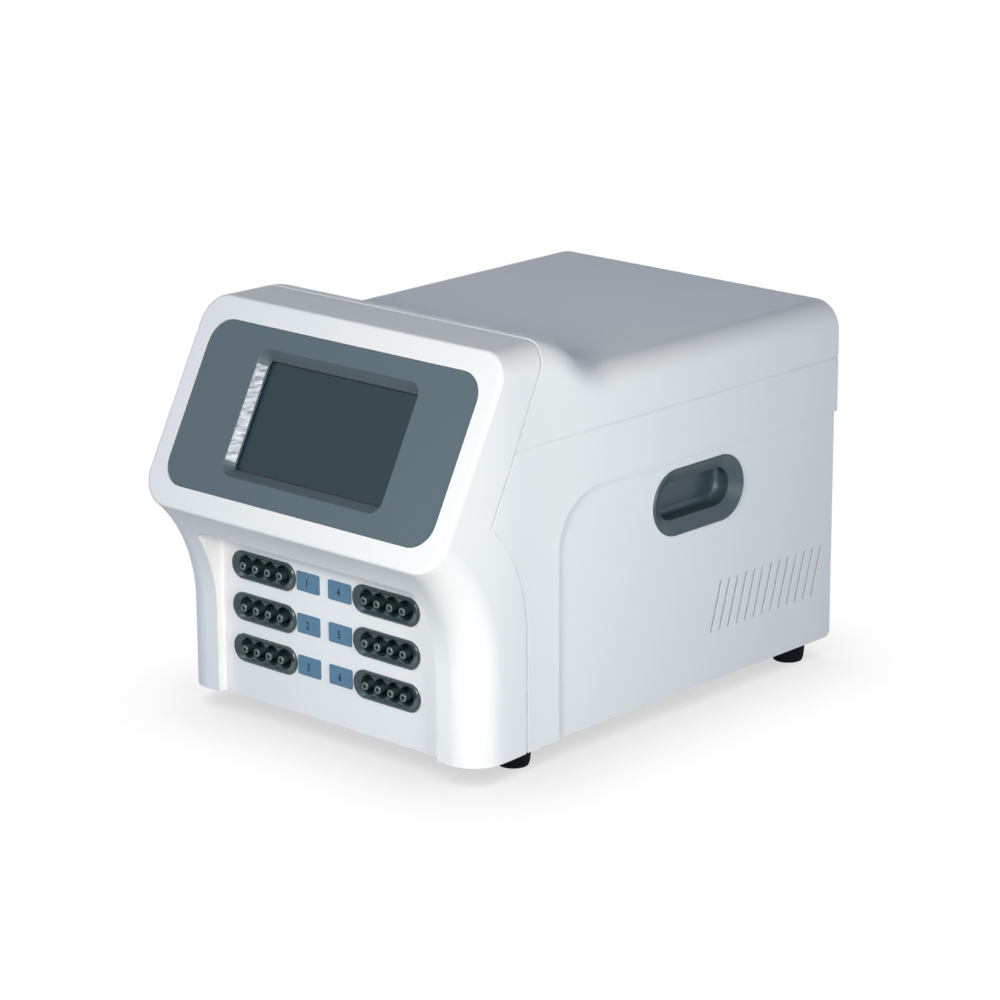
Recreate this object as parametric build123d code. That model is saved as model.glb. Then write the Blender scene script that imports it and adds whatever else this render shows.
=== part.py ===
"""Bench thermal cycler with a slanted touch screen and six four-way hose ports.

Millimetres, +Z up, the front faces -Y.  The origin is on the bench, under the
middle of the case.  Each function makes one piece or one family of pieces, and
the last lines write every piece to parts/NODE.step.
"""
from build123d import *
from math import asin, cos, degrees, radians, sin, sqrt, tan
import os

# ---------------------------------------------------------------- driving sizes
case_width = 300.0            # over the side faces of the case
bezel_flare = 3.0             # how far each side stands out at the front bezel
case_depth = 457.0            # chin of the bezel to the rear edge
case_height = 300.0           # case bottom to the top of the hump
deck_height = 271.0           # case bottom to the flat rear deck
foot_height = 15.0
shell = 3.0                   # wall of the moulded covers
roof_edge_radius = 22.0       # long rounded edges of the roof
leg_edge_radius = 26.0        # rounded outer edges of the two front legs

face_lean = 28.0              # degrees between the screen face and the vertical
face_edge_radius = 3.0
chin_height = 154.0
chin_overhang = 40.7          # chin in front of the legs
leg_straight = 66.0           # upright part of a leg below the sweep

hump_run = 44.0               # flat top of the hump behind the face
hump_fall_run = 73.0          # length of the S-shaped step down to the deck
flare_start = 330.0           # in front of the rear edge
flare_end = 400.0

bezel_thickness = 38.0        # screen face to the seam behind it
bezel_foot_depth = 95.5       # chin to the upright part of that seam
seam_straight = 90.0          # height of the upright part of the seam
seam_radius = 113.0           # sweep of the seam above it
groove = 2.0                  # bright groove behind the seam, as deep as wide
frame_chamfer = 1.2           # top edge of the side frames
roof_seam_height = 228.4      # seam between roof cover and middle frame
lip_wall = 2.0                # tongues that locate the covers
lip_height = 6.0

arch_half_width = 114.0       # recess that holds the hose ports
arch_height = 131.5
arch_corner_radius = 8.0
port_panel_set_back = 7.0     # port panel behind the legs
arch_root_radius = 2.0

side_window_depth = 324.8     # rear edge to the front edge of the side window
side_window_height = 185.0
side_window_radius = 42.0
side_panel_wall = 3.0
side_panel_lap = 6.0          # side panel behind the middle frame
side_panel_corner = 5.0       # lower rear corner
slide_gap = 0.4               # between neighbouring covers

display_width = 273.4
display_height = 130.4
display_margin = 17.4         # bezel frame below the display plate
display_corner = 20.0
display_set_in = 0.8
display_gap = 0.4
display_flange = 5.0
display_flange_wall = 2.5
screen_width = 153.4
screen_height = 85.0
screen_margin = 40.4          # lower edge of the bezel face to the screen
screen_side_bevel = 5.0       # bevelled walls left and right of the screen
screen_end_bevel = 7.0        # bevelled walls above and below it
screen_bevel_depth = 8.2
screen_step = 1.6             # upright step from the bevel down to the glass
screen_corner = 2.5
bevel_corner = 10.5
tub_wall = 2.5
glass_wall = 2.0
glass_lap = 3.0
module_wall = 6.0
bracket_wall = 1.5
bracket_rail = 30.0
module_socket = (24.0, 8.0)
strip_wall = 0.3
strip_length = 75.0
strip_margin = 0.06           # share of the bevel left bare beside the strip
post_radius = 4.0
screw_radius = 1.5
screw_head_radius = 2.8
screw_head = 1.8
screw_length = 8.0
post_gap = 2.0                # screw post beside the tub of the display plate
module_lap = 5.0              # screen module beyond the visible screen

port_columns = (-68.5, 58.3)
port_top_row = 104.5
port_row_pitch = 32.7
port_rows = 3
port_length = 67.2
port_height = 21.8
port_flange = 2.0
port_lip = 1.0
port_body_length = 64.0
port_body_height = 18.0
port_body_depth = 14.0
well_radius = 7.6
well_pitch = 12.9
well_floor = 2.0
wells = 4
nipple_radius = 3.1
nipple_bore = 1.6
nipple_proud = 4.4            # in front of the port panel
spigot_radius = 3.0
spigot_length = 8.0

label_width = 23.6
label_height = 15.0
label_wall = 0.8
label_corner = 1.5
label_columns = (-21.9, 10.9)

handle_length = 105.0
handle_height = 51.7
handle_centre_depth = 164.6   # in front of the rear edge
handle_centre_height = 151.6
handle_proud = 1.6
grip_length = 82.0
grip_height = 29.6
dish_depth = 4.5
pocket_depth = 19.0
pocket_undercut = 5.0
cup_wall = 2.0
cup_lap = 3.4                 # handle flange over the panel round its hole
rim_round = 1.0
pocket_round = 5.0            # lower inner edge of the grip pocket

vent_count = 13
vent_pitch = 10.24
vent_first_depth = 141.7      # centre of the foremost slot in front of the rear edge
vent_centre_height = 58.3
vent_length = 41.0
vent_width = 2.8
vent_lean = 16.7              # degrees

tray_wall = 1.5
tray_flange = 14.0
tray_slot = (60.0, 4.0)       # air inlets under the heat sink
tray_slot_pitch = 10.0
tray_slots_each_way = 4
rear_wall = 1.5
rear_set_in = 3.0

fan_size = 80.0
fan_depth = 25.0
fan_bore = 76.0
fan_screw_pitch = 71.5
fan_x = 66.0
fan_height = 150.0
rotor_depth = 15.0
rotor_radius = 36.8
hub_radius = 18.0
blade_count = 7
blade_wall = 1.6
blade_root_chord = 15.0
blade_root_pitch = 52.0       # degrees from the plane of the fan
blade_tip_chord = 22.0
blade_tip_pitch = 32.0
motor_wall = 3.5
fan_front_room = 5.2          # rotor behind the rear face of the fan
fan_screw_radius = 2.0
grille_pitch = 9.6
grille_slot = 6.0
shaft_radius = 2.0
shaft_play = 0.05

foot_radius = 13.5
foot_taper = 2.2
foot_chamfer = 3.0
foot_well_radius = 5.0
foot_well_depth = 6.0
foot_inset = 20.0             # foot centre inside the side face
foot_front_depth = 352.5      # foot centres in front of the rear edge
foot_rear_depth = 31.0

inlet_x = -78.0
inlet_height = 60.0
inlet_body_width = 28.0
inlet_body_height = 31.0
inlet_flange_width = 50.0
inlet_flange_height = 35.0
inlet_flange = 2.4
inlet_depth = 24.0
socket_width = 24.4
socket_height = 16.9
socket_depth = 17.0
socket_rise = 5.4             # socket centre over the inlet centre
drawer_width = 22.0
drawer_height = 7.6
drawer_drop = 10.2
drawer_depth = 20.0
drawer_gap = 0.15
switch_x = -120.0
switch_body_width = 18.0
switch_body_height = 27.0
switch_flange_width = 21.6
switch_flange_height = 31.0
switch_depth = 18.0
switch_flange = 1.6
rocker_width = 14.0
rocker_height = 23.0
rocker_tilt = 8.0
rocker_depth = 9.0
rocker_pin_radius = 1.5
rocker_set_in = 3.6           # pin in front of the rear panel's outer face

psu_x, psu_y = -90.0, 125.0
psu_size = (95.0, 150.0, 38.0)
board_x, board_y, board_z = -66.0, 268.0, 13.5
board_size = (126.0, 96.0, 1.6)
standoff_radius = 3.0
core_y = 92.0
core_width = 92.0
core_length = 110.0
plate_z = 96.0
cold_plate_height = 16.0
module_height = 4.0
sink_base = 6.0
fin_height = 46.0
fin_count = 13
fin_wall = 1.6
column_radius = 4.0
pump_x = (32.0, 92.0)
pump_y = 262.0
pump_radius = 21.0
pump_length = 62.0
manifold_depth = 20.0
manifold_height = 122.0
valve_size = (11.6, 26.0, 20.0)

# ------------------------------------------------------------- derived places
half = case_width / 2
rear_y = case_depth / 2
chin_y = -case_depth / 2
base_z = foot_height
lean = radians(face_lean)
top_z = base_z + case_height
deck_z = base_z + deck_height
chin_z = base_z + chin_height
leg_y = chin_y + chin_overhang
sweep_z = base_z + leg_straight
sweep_rise = chin_z - sweep_z
sweep_radius = (sweep_rise ** 2 + chin_overhang ** 2) / (2 * chin_overhang)
face_top_y = chin_y + case_height * tan(lean) - chin_height * tan(lean)
panel_y = leg_y + port_panel_set_back
seam_y = chin_y + bezel_foot_depth
seam_z = base_z + seam_straight
roof_seam_z = base_z + roof_seam_height
reach = 20.0                  # how far cutting bodies run past what they cut
rear_panel_y = rear_y - rear_set_in
rear_inside_y = rear_panel_y - rear_wall
screen_depth = display_set_in + screen_bevel_depth + screen_step
module_back = screen_depth + glass_wall + module_wall

# The screen face: local x to the right, local y up the slope, local z outwards.
face_plane = Plane(origin=(0, chin_y, chin_z), x_dir=(1, 0, 0), z_dir=(0, -cos(lean), sin(lean)))
# The port panel: local x to the right, local y up, local z towards the user.
panel_plane = Plane(origin=(0, panel_y, base_z), x_dir=(1, 0, 0), z_dir=(0, -1, 0))


def side_plane(side, x):
    """Plane on the outside of a side wall: local y up, local z outwards."""
    return Plane(origin=(side * x, 0, base_z), x_dir=(0, side, 0), z_dir=(side, 0, 0))


def arc(centre, radius, start, end):
    """Arc in the YZ profile plane, by angles in degrees."""
    return CenterArc(centre, radius, start, end - start)


# ---------------------------------------------------------------- the case body
def sweep_chin(radius, shift):
    """Where the swept leg front of this radius meets the screen face moved in by shift."""
    centre_y, centre_z = leg_y - sweep_radius, sweep_z
    start_y, start_z = chin_y + shift * cos(lean), chin_z - shift * sin(lean)
    along = (start_y - centre_y) * sin(lean) + (start_z - centre_z) * cos(lean)
    rest = (start_y - centre_y) ** 2 + (start_z - centre_z) ** 2 - radius ** 2
    step = -along + sqrt(along ** 2 - rest)
    return start_y + step * sin(lean), start_z + step * cos(lean)


def side_profile(inset, run_out):
    """Side view of the case, moved in by inset and run out below and behind."""
    radius = sweep_radius + inset
    chin = sweep_chin(radius, inset)
    sweep_centre = (leg_y - sweep_radius, sweep_z)
    sweep_angle = degrees(asin((chin[1] - sweep_z) / radius))
    hump_z = top_z - inset
    face_top = (chin[0] + (hump_z - chin[1]) * tan(lean), hump_z)
    fall = case_height - deck_height
    fall_radius = ((hump_fall_run / 2) ** 2 + (fall / 2) ** 2) / fall
    fall_angle = degrees(asin(hump_fall_run / 2 / fall_radius))
    crest_y = face_top_y + hump_run
    valley_y = crest_y + hump_fall_run
    bottom = base_z - run_out
    back = rear_y + run_out
    outline = (
        Line((leg_y + inset, bottom), (leg_y + inset, sweep_z))
        + arc(sweep_centre, radius, 0, sweep_angle)
        + Line(chin, face_top)
        + Line(face_top, (crest_y, hump_z))
        + arc((crest_y, top_z - fall_radius), fall_radius - inset, 90, 90 - fall_angle)
        + arc((valley_y, deck_z + fall_radius), fall_radius + inset, 270 - fall_angle, 270)
        + Line((valley_y, deck_z - inset), (back, deck_z - inset))
        + Line((back, deck_z - inset), (back, bottom))
        + Line((back, bottom), (leg_y + inset, bottom))
    )
    return Plane.YZ * make_face(outline)


def plan_half(inset, run_out):
    """Plan view of the right half of the case."""
    start, end = rear_y - flare_start, rear_y - flare_end
    run, rise = (start - end) / 2, bezel_flare / 2
    radius = (run ** 2 + rise ** 2) / (2 * rise)
    turn = degrees(asin(run / radius))
    near, far = half - inset, half + bezel_flare - inset
    back, front = rear_y + run_out, chin_y - reach
    outline = (
        Line((0, back), (near, back))
        + Line((near, back), (near, start))
        + CenterArc((half + radius, start), radius + inset, 180, turn)
        + CenterArc((half + bezel_flare - radius, end), radius - inset, turn, -turn)
        + Line((far, end), (far, front))
        + Line((far, front), (0, front))
        + Line((0, front), (0, back))
    )
    return make_face(outline)


def case_body(inset=0.0, run_out=0.0):
    """Solid of the whole case: side view and plan view crossed, long edges rounded."""
    slab = extrude(side_profile(inset, run_out), half + reach, both=True)
    right = plan_half(inset, run_out)
    column = extrude(right + mirror(right, Plane.YZ), top_z + reach)
    column = Pos(0, 0, -reach) * column
    body = (slab & column).solid()
    outer = half - inset - 0.5
    back = rear_y + run_out
    chin_top = sweep_chin(sweep_radius + inset, inset)[1]

    def on_side(edge):
        return abs(edge.center().X) > outer

    roof = [e for e in body.edges() if on_side(e) and e.center().Z > deck_z - inset - 0.5
            and face_top_y + 1 < e.center().Y < back - 0.5]
    body = fillet(roof, roof_edge_radius - inset).solid()
    legs = [e for e in body.edges() if on_side(e) and base_z - run_out + 0.5 < e.center().Z < chin_top
            and e.center().Y < leg_y + inset + 0.1]
    return fillet(legs, leg_edge_radius - inset).solid()


def front_zone(shift):
    """Everything in front of the bezel seam, the seam moved back by shift."""
    radius = seam_radius + shift
    centre = (seam_y - seam_radius, seam_z)
    start_y = chin_y + (bezel_thickness + shift) * cos(lean)
    start_z = chin_z - (bezel_thickness + shift) * sin(lean)
    along = (start_y - centre[0]) * sin(lean) + (start_z - centre[1]) * cos(lean)
    rest = (start_y - centre[0]) ** 2 + (start_z - centre[1]) ** 2 - radius ** 2
    step = -along + sqrt(along ** 2 - rest)
    kink = (start_y + step * sin(lean), start_z + step * cos(lean))
    turn = degrees(asin((kink[1] - seam_z) / radius))
    up = top_z + reach
    top = (kink[0] + (up - kink[1]) * tan(lean), up)
    front, low = chin_y - reach, -reach
    outline = (
        Line((front, low), (seam_y + shift, low))
        + Line((seam_y + shift, low), (seam_y + shift, seam_z))
        + arc(centre, radius, 0, turn)
        + Line(kink, top)
        + Line(top, (front, up))
        + Line((front, up), (front, low))
    )
    return extrude(Plane.YZ * make_face(outline), half + reach, both=True)


# ------------------------------------------------------------------ the covers
def arch_block(grow, depth):
    """The arched recess between the legs, down to this depth behind the port panel."""
    width = 2 * (arch_half_width + grow)
    height = arch_height + grow + reach
    outline = Pos(0, arch_height + grow - height / 2) * Rectangle(width, height)
    outline = fillet(outline.vertices().group_by(Axis.Y)[-1], arch_corner_radius + grow)
    return extrude(panel_plane.offset(-depth) * outline, depth + chin_overhang + reach)


def on_face(sketch, middle, depth=0.0):
    """A sketch on a plane this deep below the screen face, this far up from the chin."""
    return face_plane.offset(-depth) * Pos(0, middle) * sketch


def on_panel(sketch, x, height, out=0.0):
    """A sketch in front of the port panel."""
    return panel_plane.offset(out) * Pos(x, height) * sketch


def port_places():
    """Centre of each hose port, down the left column and then down the right one."""
    return [(x, port_top_row - row * port_row_pitch) for x in port_columns for row in range(port_rows)]


display_middle = display_margin + display_height / 2
screen_middle = screen_margin + screen_height / 2


def front_bezel(outer, inner, lip_core):
    face_edges = [e for e in outer.edges() if all(
        abs(face_plane.to_local_coords(v.center()).Z) < 0.01 for v in e.vertices())]
    block = fillet(face_edges, face_edge_radius) & front_zone(0)
    block -= arch_block(0, 0)
    root = [e for e in block.edges() if abs(e.center().Y - panel_y) < 0.01
            and e.center().Z > base_z + 1]
    block = fillet(root, arch_root_radius)
    bezel = block - (inner - arch_block(shell, shell))
    window = RectangleRounded(display_width + 2 * display_gap, display_height + 2 * display_gap,
                              display_corner + display_gap)
    bezel -= extrude(on_face(window, display_middle, -shell), -3 * shell)
    for x, height in port_places():
        hole = SlotOverall(port_body_length + slide_gap, port_body_height + slide_gap)
        bezel -= extrude(on_panel(hole, x, height, shell), -3 * shell)
    lip = (outer & (inner - lip_core)) & (front_zone(lip_height) - front_zone(-shell))
    return bezel + lip


def cut_below(height):
    """Everything below this height over the case bottom."""
    return Pos(0, 0, base_z + height / 2 - reach / 2) * Box(3 * half, 2 * case_depth, height + reach)


def in_front_of(y):
    """Everything in front of this place."""
    return Pos(0, y - case_depth, 0) * Box(3 * half, 2 * case_depth, 4 * case_height)


def rear_shell(outer, inner):
    """The covers behind the seam in one, with the groove along the seam."""
    notch = front_zone(slide_gap + groove) - case_body(groove, reach)
    return (outer - inner) - front_zone(slide_gap) - notch


def roof_cover(covers):
    return covers - cut_below(roof_seam_height + slide_gap / 2)


def window_outline(grow):
    """Side window between the frame's leg and band, seen from the side."""
    front, up = rear_y - side_window_depth - grow, base_z + side_window_height + grow
    back, low = rear_y + reach, base_z - reach
    outline = Polyline((front, low), (back, low), (back, up), (front, up), close=True)
    corner = make_face(outline)
    at_front = [v for v in corner.vertices() if v.Y > base_z and v.X < 0]
    return fillet(at_front, side_window_radius + grow)


def side_frame(covers, outer, inner, lip_core, side):
    band = covers & cut_below(roof_seam_height - slide_gap / 2)
    band -= extrude(Plane.YZ * window_outline(0), case_width, both=True)
    keep = Pos(side * case_width / 2, 0, 0) * Box(case_width, 2 * case_depth, 4 * case_height)
    band = band & keep
    top = base_z + roof_seam_height - slide_gap / 2
    rim = [e for e in band.edges() if abs(e.center().Z - top) < 0.01
           and abs(e.center().X) > half - 0.2 and e.length > 2 * shell]
    band = chamfer(rim, frame_chamfer)
    tongue = (outer & (inner - lip_core)) - front_zone(lip_height + slide_gap)
    tongue = tongue - cut_below(roof_seam_height - lip_height) & cut_below(roof_seam_height + lip_height)
    tongue = tongue & in_front_of(rear_inside_y)
    return band + (tongue & keep)


def side_panel(side):
    """Flat side panel with the slanted vents, seen in the window of the side frame."""
    case_side = Pos(0, base_z + case_height / 2) * Rectangle(case_depth, case_height)
    outline = window_outline(side_panel_lap) & case_side
    panel = extrude(Plane.YZ.offset(side * (half - shell)) * outline, -side * side_panel_wall)
    corner = [e for e in panel.edges() if abs(e.center().Y - rear_y) < 0.01
              and abs(e.center().Z - base_z) < 0.01]
    panel = fillet(corner, side_panel_corner)
    face = side_plane(side, half - shell)
    cup_hole = SlotOverall(handle_length - 2 * cup_lap, handle_height - 2 * cup_lap)
    panel -= extrude(face * Pos(side * (rear_y - handle_centre_depth), handle_centre_height) * cup_hole,
                     side_panel_wall + slide_gap, both=True)
    slot = Rot(0, 0, 90 - side * vent_lean) * SlotOverall(vent_length, vent_width)
    slots = [Pos(side * (rear_y - vent_first_depth + n * vent_pitch), vent_centre_height) * slot
             for n in range(vent_count)]
    return panel - extrude(face * Sketch(slots), side_panel_wall + slide_gap, both=True)


def handle_cup(side):
    """Moulded grip cup: beaded rim, dished ring and an undercut pocket for the fingers."""
    face = side_plane(side, half - shell)
    centre = Pos(side * (rear_y - handle_centre_depth), handle_centre_height)

    def at(depth, sketch):
        return face.offset(-depth) * centre * sketch

    def stadium(trim):
        return SlotOverall(handle_length - trim, handle_height - trim)

    grip = SlotOverall(grip_length, grip_height)
    rim = extrude(at(0, stadium(0)), handle_proud)
    outermost = rim.faces().sort_by(Axis.X)[0 if side < 0 else -1]
    rim = fillet(outermost.edges(), rim_round)
    body = extrude(at(0, stadium(2 * cup_lap + 2 * slide_gap)), -dish_depth - cup_wall)
    pocket_high = grip_height + pocket_undercut
    raised = Pos(0, pocket_undercut / 2)
    floor = dish_depth + cup_wall
    hollow = extrude(at(floor, raised * RectangleRounded(grip_length + 2 * cup_wall, pocket_high,
                                                         grip_height / 2 - 1)), floor - pocket_depth)
    low_edge = [e for e in hollow.edges() if abs(abs(e.center().X) - (half - shell - pocket_depth)) < 0.01
                and e.center().Z < base_z + handle_centre_height]
    hollow = fillet(low_edge, pocket_round)
    tub = extrude(at(dish_depth, raised * RectangleRounded(
        grip_length + 4 * cup_wall, pocket_high + 2 * cup_wall, grip_height / 2 + 1)),
        dish_depth - pocket_depth - cup_wall)
    dish = loft([at(-handle_proud, stadium(2 * rim_round + 1.0)), at(dish_depth, grip)])
    throat = extrude(at(dish_depth - 0.01, grip), -cup_wall - 0.02)
    return rim + body + tub - dish - throat - hollow


# --------------------------------------------------------------- the screen unit
def display_plate():
    """Dark plate round the screen: island in the bezel window, flange behind, bevelled tub."""
    island = RectangleRounded(display_width, display_height, display_corner)
    plate = extrude(on_face(island, display_middle, display_set_in), display_set_in - shell)
    flange = RectangleRounded(display_width + 2 * display_flange, display_height + 2 * display_flange,
                              display_corner)
    plate += extrude(on_face(flange, display_middle, shell), -display_flange_wall)
    wide = screen_width + 2 * screen_side_bevel
    high = screen_height + 2 * screen_end_bevel
    tub = RectangleRounded(wide + 2 * tub_wall, high + 2 * tub_wall, bevel_corner)
    plate += extrude(on_face(tub, screen_middle, shell), shell - screen_depth - glass_wall)
    opening = RectangleRounded(screen_width, screen_height, screen_corner)
    bevel_end = display_set_in + screen_bevel_depth
    plate -= loft([on_face(RectangleRounded(wide, high, bevel_corner), screen_middle, display_set_in),
                   on_face(opening, screen_middle, bevel_end)], ruled=True)
    plate -= extrude(on_face(opening, screen_middle, bevel_end), -screen_step)
    seat = RectangleRounded(screen_width + 2 * glass_lap + slide_gap,
                            screen_height + 2 * glass_lap + slide_gap, screen_corner)
    plate -= extrude(on_face(seat, screen_middle, screen_depth), -glass_wall)
    post_foot = shell + display_flange_wall
    for u, v in bracket_posts():
        post = on_face(Pos(u, v) * Circle(post_radius), screen_middle, post_foot)
        plate += extrude(post, post_foot - module_back)
        bore = on_face(Pos(u, v) * Circle(screw_radius), screen_middle, module_back)
        plate -= extrude(bore, screw_length)
    return plate


def bracket_posts():
    """Screw posts beside the tub, seen from the middle of the screen."""
    across = screen_width / 2 + screen_side_bevel + tub_wall + post_gap + post_radius
    return [(u * across, v * screen_height / 3) for u in (-1, 1) for v in (-1, 1)]


def screen_glass():
    glass = RectangleRounded(screen_width + 2 * glass_lap, screen_height + 2 * glass_lap, screen_corner)
    return extrude(on_face(glass, screen_middle, screen_depth), -glass_wall)


def screen_module():
    """Display can behind the glass, with the socket of its ribbon cable."""
    can = Rectangle(screen_width + 2 * module_lap, screen_height + 2 * module_lap)
    body = extrude(on_face(can, screen_middle, screen_depth + glass_wall), -module_wall)
    socket = Pos(screen_width / 4, 0) * Rectangle(*module_socket)
    return body - extrude(on_face(socket, screen_middle, module_back), module_wall / 3)


def screen_bracket():
    """Sheet yoke that clamps the screen against the display plate."""
    across, up = bracket_posts()[-1]
    sheet = RectangleRounded(2 * (across + post_radius), 2 * (up + post_radius), post_radius)
    sheet -= RectangleRounded(screen_width - bracket_rail, screen_height / 3, post_radius)
    for u, v in bracket_posts():
        sheet -= Pos(u, v) * Circle(screw_radius)
    return extrude(on_face(sheet, screen_middle, module_back), -bracket_wall)


def bracket_screws():
    screws = []
    for u, v in bracket_posts():
        under_head = module_back + bracket_wall
        head = extrude(on_face(Pos(u, v) * Circle(screw_head_radius), screen_middle, under_head), -screw_head)
        shank = extrude(on_face(Pos(u, v) * Circle(screw_radius), screen_middle, under_head), screw_length)
        screws.append(head + shank)
    return Compound(screws)


def screen_strip():
    """Bright foil on the left bevel of the screen recess."""
    slope = Vector(screen_side_bevel, -screen_bevel_depth)
    out = Vector(screen_bevel_depth, screen_side_bevel).normalized() * strip_wall
    mouth = Vector(-screen_width / 2 - screen_side_bevel, -display_set_in)
    outer, inner = mouth + slope * strip_margin, mouth + slope * (1 - strip_margin)
    points = [outer, inner, inner + out, outer + out]
    section = make_face(Polyline(*[(p.X, p.Y) for p in points], close=True))
    start = face_plane.from_local_coords((0, screen_middle - strip_length / 2, 0))
    at = Plane(origin=start, x_dir=(1, 0, 0), z_dir=face_plane.y_dir * -1)
    return extrude(at * section, -strip_length)


# ---------------------------------------------------------------- the hose ports
def port_block(x, height):
    """Stadium block with a dished rim and four overlapping wells, a hollow nipple in each."""
    outer = SlotOverall(port_length, port_height)
    rim = extrude(on_panel(outer, x, height), port_flange)
    rim = chamfer(rim.faces().sort_by(Axis.Y)[0].edges(), 0.6)
    body = extrude(on_panel(SlotOverall(port_body_length, port_body_height), x, height), -port_body_depth)
    dish_floor = 0.2
    cup = SlotOverall(3 * well_pitch + 2 * well_radius, 2 * well_radius)
    dish = loft([on_panel(SlotOverall(port_length - 2 * port_lip - 1.2, port_height - 2 * port_lip - 1.2),
                          x, height, port_flange),
                 on_panel(cup, x, height, dish_floor)])
    block = rim + body - dish
    places = [Pos((n - (wells - 1) / 2) * well_pitch, 0) for n in range(wells)]
    holes = Sketch([place * Circle(well_radius) for place in places])
    block -= extrude(on_panel(holes, x, height, dish_floor + 0.01),
                     -(port_body_depth - well_floor + dish_floor))
    for place in places:
        tube = extrude(on_panel(place * Circle(nipple_radius), x, height, nipple_proud),
                       -(nipple_proud + port_body_depth))
        tube = chamfer(tube.faces().sort_by(Axis.Y)[0].edges(), 0.5)
        spigot = extrude(on_panel(place * Circle(spigot_radius), x, height, -port_body_depth),
                         -spigot_length)
        bore = extrude(on_panel(place * Circle(nipple_bore), x, height, nipple_proud),
                       -(nipple_proud + port_body_depth + spigot_length))
        block = block + tube + spigot - bore
    return block


def number_plate(x, height):
    plate = RectangleRounded(label_width, label_height, label_corner)
    return extrude(on_panel(plate, x, height), label_wall)


# ------------------------------------------------------------ chassis and rear
def base_tray():
    """Folded sheet tray that carries the inside parts and the feet."""
    front = panel_y + shell
    width = 2 * (half - shell - side_panel_wall)
    floor = Pos(0, (front + rear_panel_y) / 2) * Rectangle(width, rear_panel_y - front)
    floor = chamfer(floor.vertices().group_by(Axis.Y)[0], leg_edge_radius / 2)
    tray = Pos(0, 0, base_z) * extrude(floor, tray_wall)
    flange_start = rear_y - side_window_depth
    for side in (-1, 1):
        tray += Pos(side * (width - tray_wall) / 2, (flange_start + rear_inside_y) / 2,
                    base_z + tray_flange / 2) * Box(tray_wall, rear_inside_y - flange_start, tray_flange)
    slots = [Pos(fan_x, rear_y - core_y + n * tray_slot_pitch) * SlotOverall(*tray_slot)
             for n in range(-tray_slots_each_way, tray_slots_each_way + 1)]
    tray -= Pos(0, 0, base_z) * extrude(Sketch(slots), tray_wall)
    for side, depth in foot_places().values():
        tray -= Pos(side * (half - foot_inset), rear_y - depth, base_z) * Cylinder(screw_radius, 4 * tray_wall)
    return tray


def rear_outline():
    wide, narrow = half - shell, half - shell - side_panel_wall
    step = base_z + side_window_height + side_panel_lap
    low, high = base_z + tray_wall, deck_z - shell
    outline = Polyline((-narrow, low), (narrow, low), (narrow, step), (wide, step), (wide, high),
                       (-wide, high), (-wide, step), (-narrow, step), close=True)
    face = make_face(outline)
    return fillet(face.vertices().group_by(Axis.Y)[-1], roof_edge_radius - shell)


def rear_at(out=0.0):
    """Plane of the rear panel's outer face: local x to the left, local y up, z outwards."""
    return Plane(origin=(0, rear_panel_y + out, 0), x_dir=(-1, 0, 0), z_dir=(0, 1, 0))


def rear_panel():
    panel = extrude(rear_at(-rear_wall) * mirror(rear_outline(), Plane.YZ), rear_wall)
    grille = Pos(-fan_x, base_z + fan_height)
    slots = []
    for n in range(-3, 4):
        offset = n * grille_pitch
        length = 2 * sqrt((fan_bore / 2 - 1) ** 2 - (abs(offset) + grille_slot / 2) ** 2)
        slots.append(grille * Pos(offset, 0) * Rot(0, 0, 90) * SlotOverall(length, grille_slot))
    for u, v in fan_corners():
        slots.append(grille * Pos(u, v) * Circle(fan_screw_radius + slide_gap / 2))
    slots.append(Pos(-inlet_x, base_z + inlet_height) * Rectangle(inlet_body_width, inlet_body_height))
    slots.append(Pos(-switch_x, base_z + inlet_height) * Rectangle(switch_body_width, switch_body_height))
    return panel - extrude(rear_at(-rear_wall) * Sketch(slots), rear_wall)


def fan_corners():
    return [(u * fan_screw_pitch / 2, v * fan_screw_pitch / 2) for u in (-1, 1) for v in (-1, 1)]


def fan_plane(depth):
    """Plane this deep in front of the fan frame's rear face: local z to the rear."""
    return Plane(origin=(fan_x, rear_panel_y - rear_wall - depth, base_z + fan_height),
                 x_dir=(-1, 0, 0), z_dir=(0, 1, 0))


def fan_frame():
    frame = extrude(fan_plane(fan_depth) * RectangleRounded(fan_size, fan_size, 4.0), fan_depth)
    frame -= extrude(fan_plane(fan_depth) * Circle(fan_bore / 2), fan_depth)
    for u, v in fan_corners():
        frame -= extrude(fan_plane(fan_depth) * Pos(u, v) * Circle(fan_screw_radius), fan_depth)
    spider = Circle(hub_radius)
    for turn in range(4):
        spider += Rot(0, 0, 45 + 90 * turn) * Pos((fan_bore / 2 + 0.5) / 2, 0) * Rectangle(fan_bore / 2 + 0.5, 3.0)
    spider -= Circle(shaft_radius + shaft_play)
    return frame + extrude(fan_plane(fan_depth) * spider, motor_wall)


def fan_rotor():
    """Hub, shaft and pitched blades, built along +Z and then set in the frame."""
    rotor = extrude(Circle(hub_radius), rotor_depth)
    rotor += Pos(0, 0, fan_front_room + rotor_depth - fan_depth) * extrude(
        Circle(shaft_radius), fan_depth - fan_front_room - rotor_depth)
    root = Plane.YZ.offset(hub_radius - blade_wall) * Rot(0, 0, blade_root_pitch) * Rectangle(
        blade_root_chord, blade_wall)
    tip = Plane.YZ.offset(rotor_radius + blade_wall) * Rot(0, 0, blade_tip_pitch) * Rectangle(
        blade_tip_chord, blade_wall)
    blade = Pos(0, 0, rotor_depth / 2) * loft([root, tip])
    blade = blade & extrude(Circle(rotor_radius), rotor_depth)
    for n in range(blade_count):
        rotor += Rot(0, 0, 360 / blade_count * n) * blade
    return fan_plane(fan_front_room + rotor_depth).location * rotor


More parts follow.
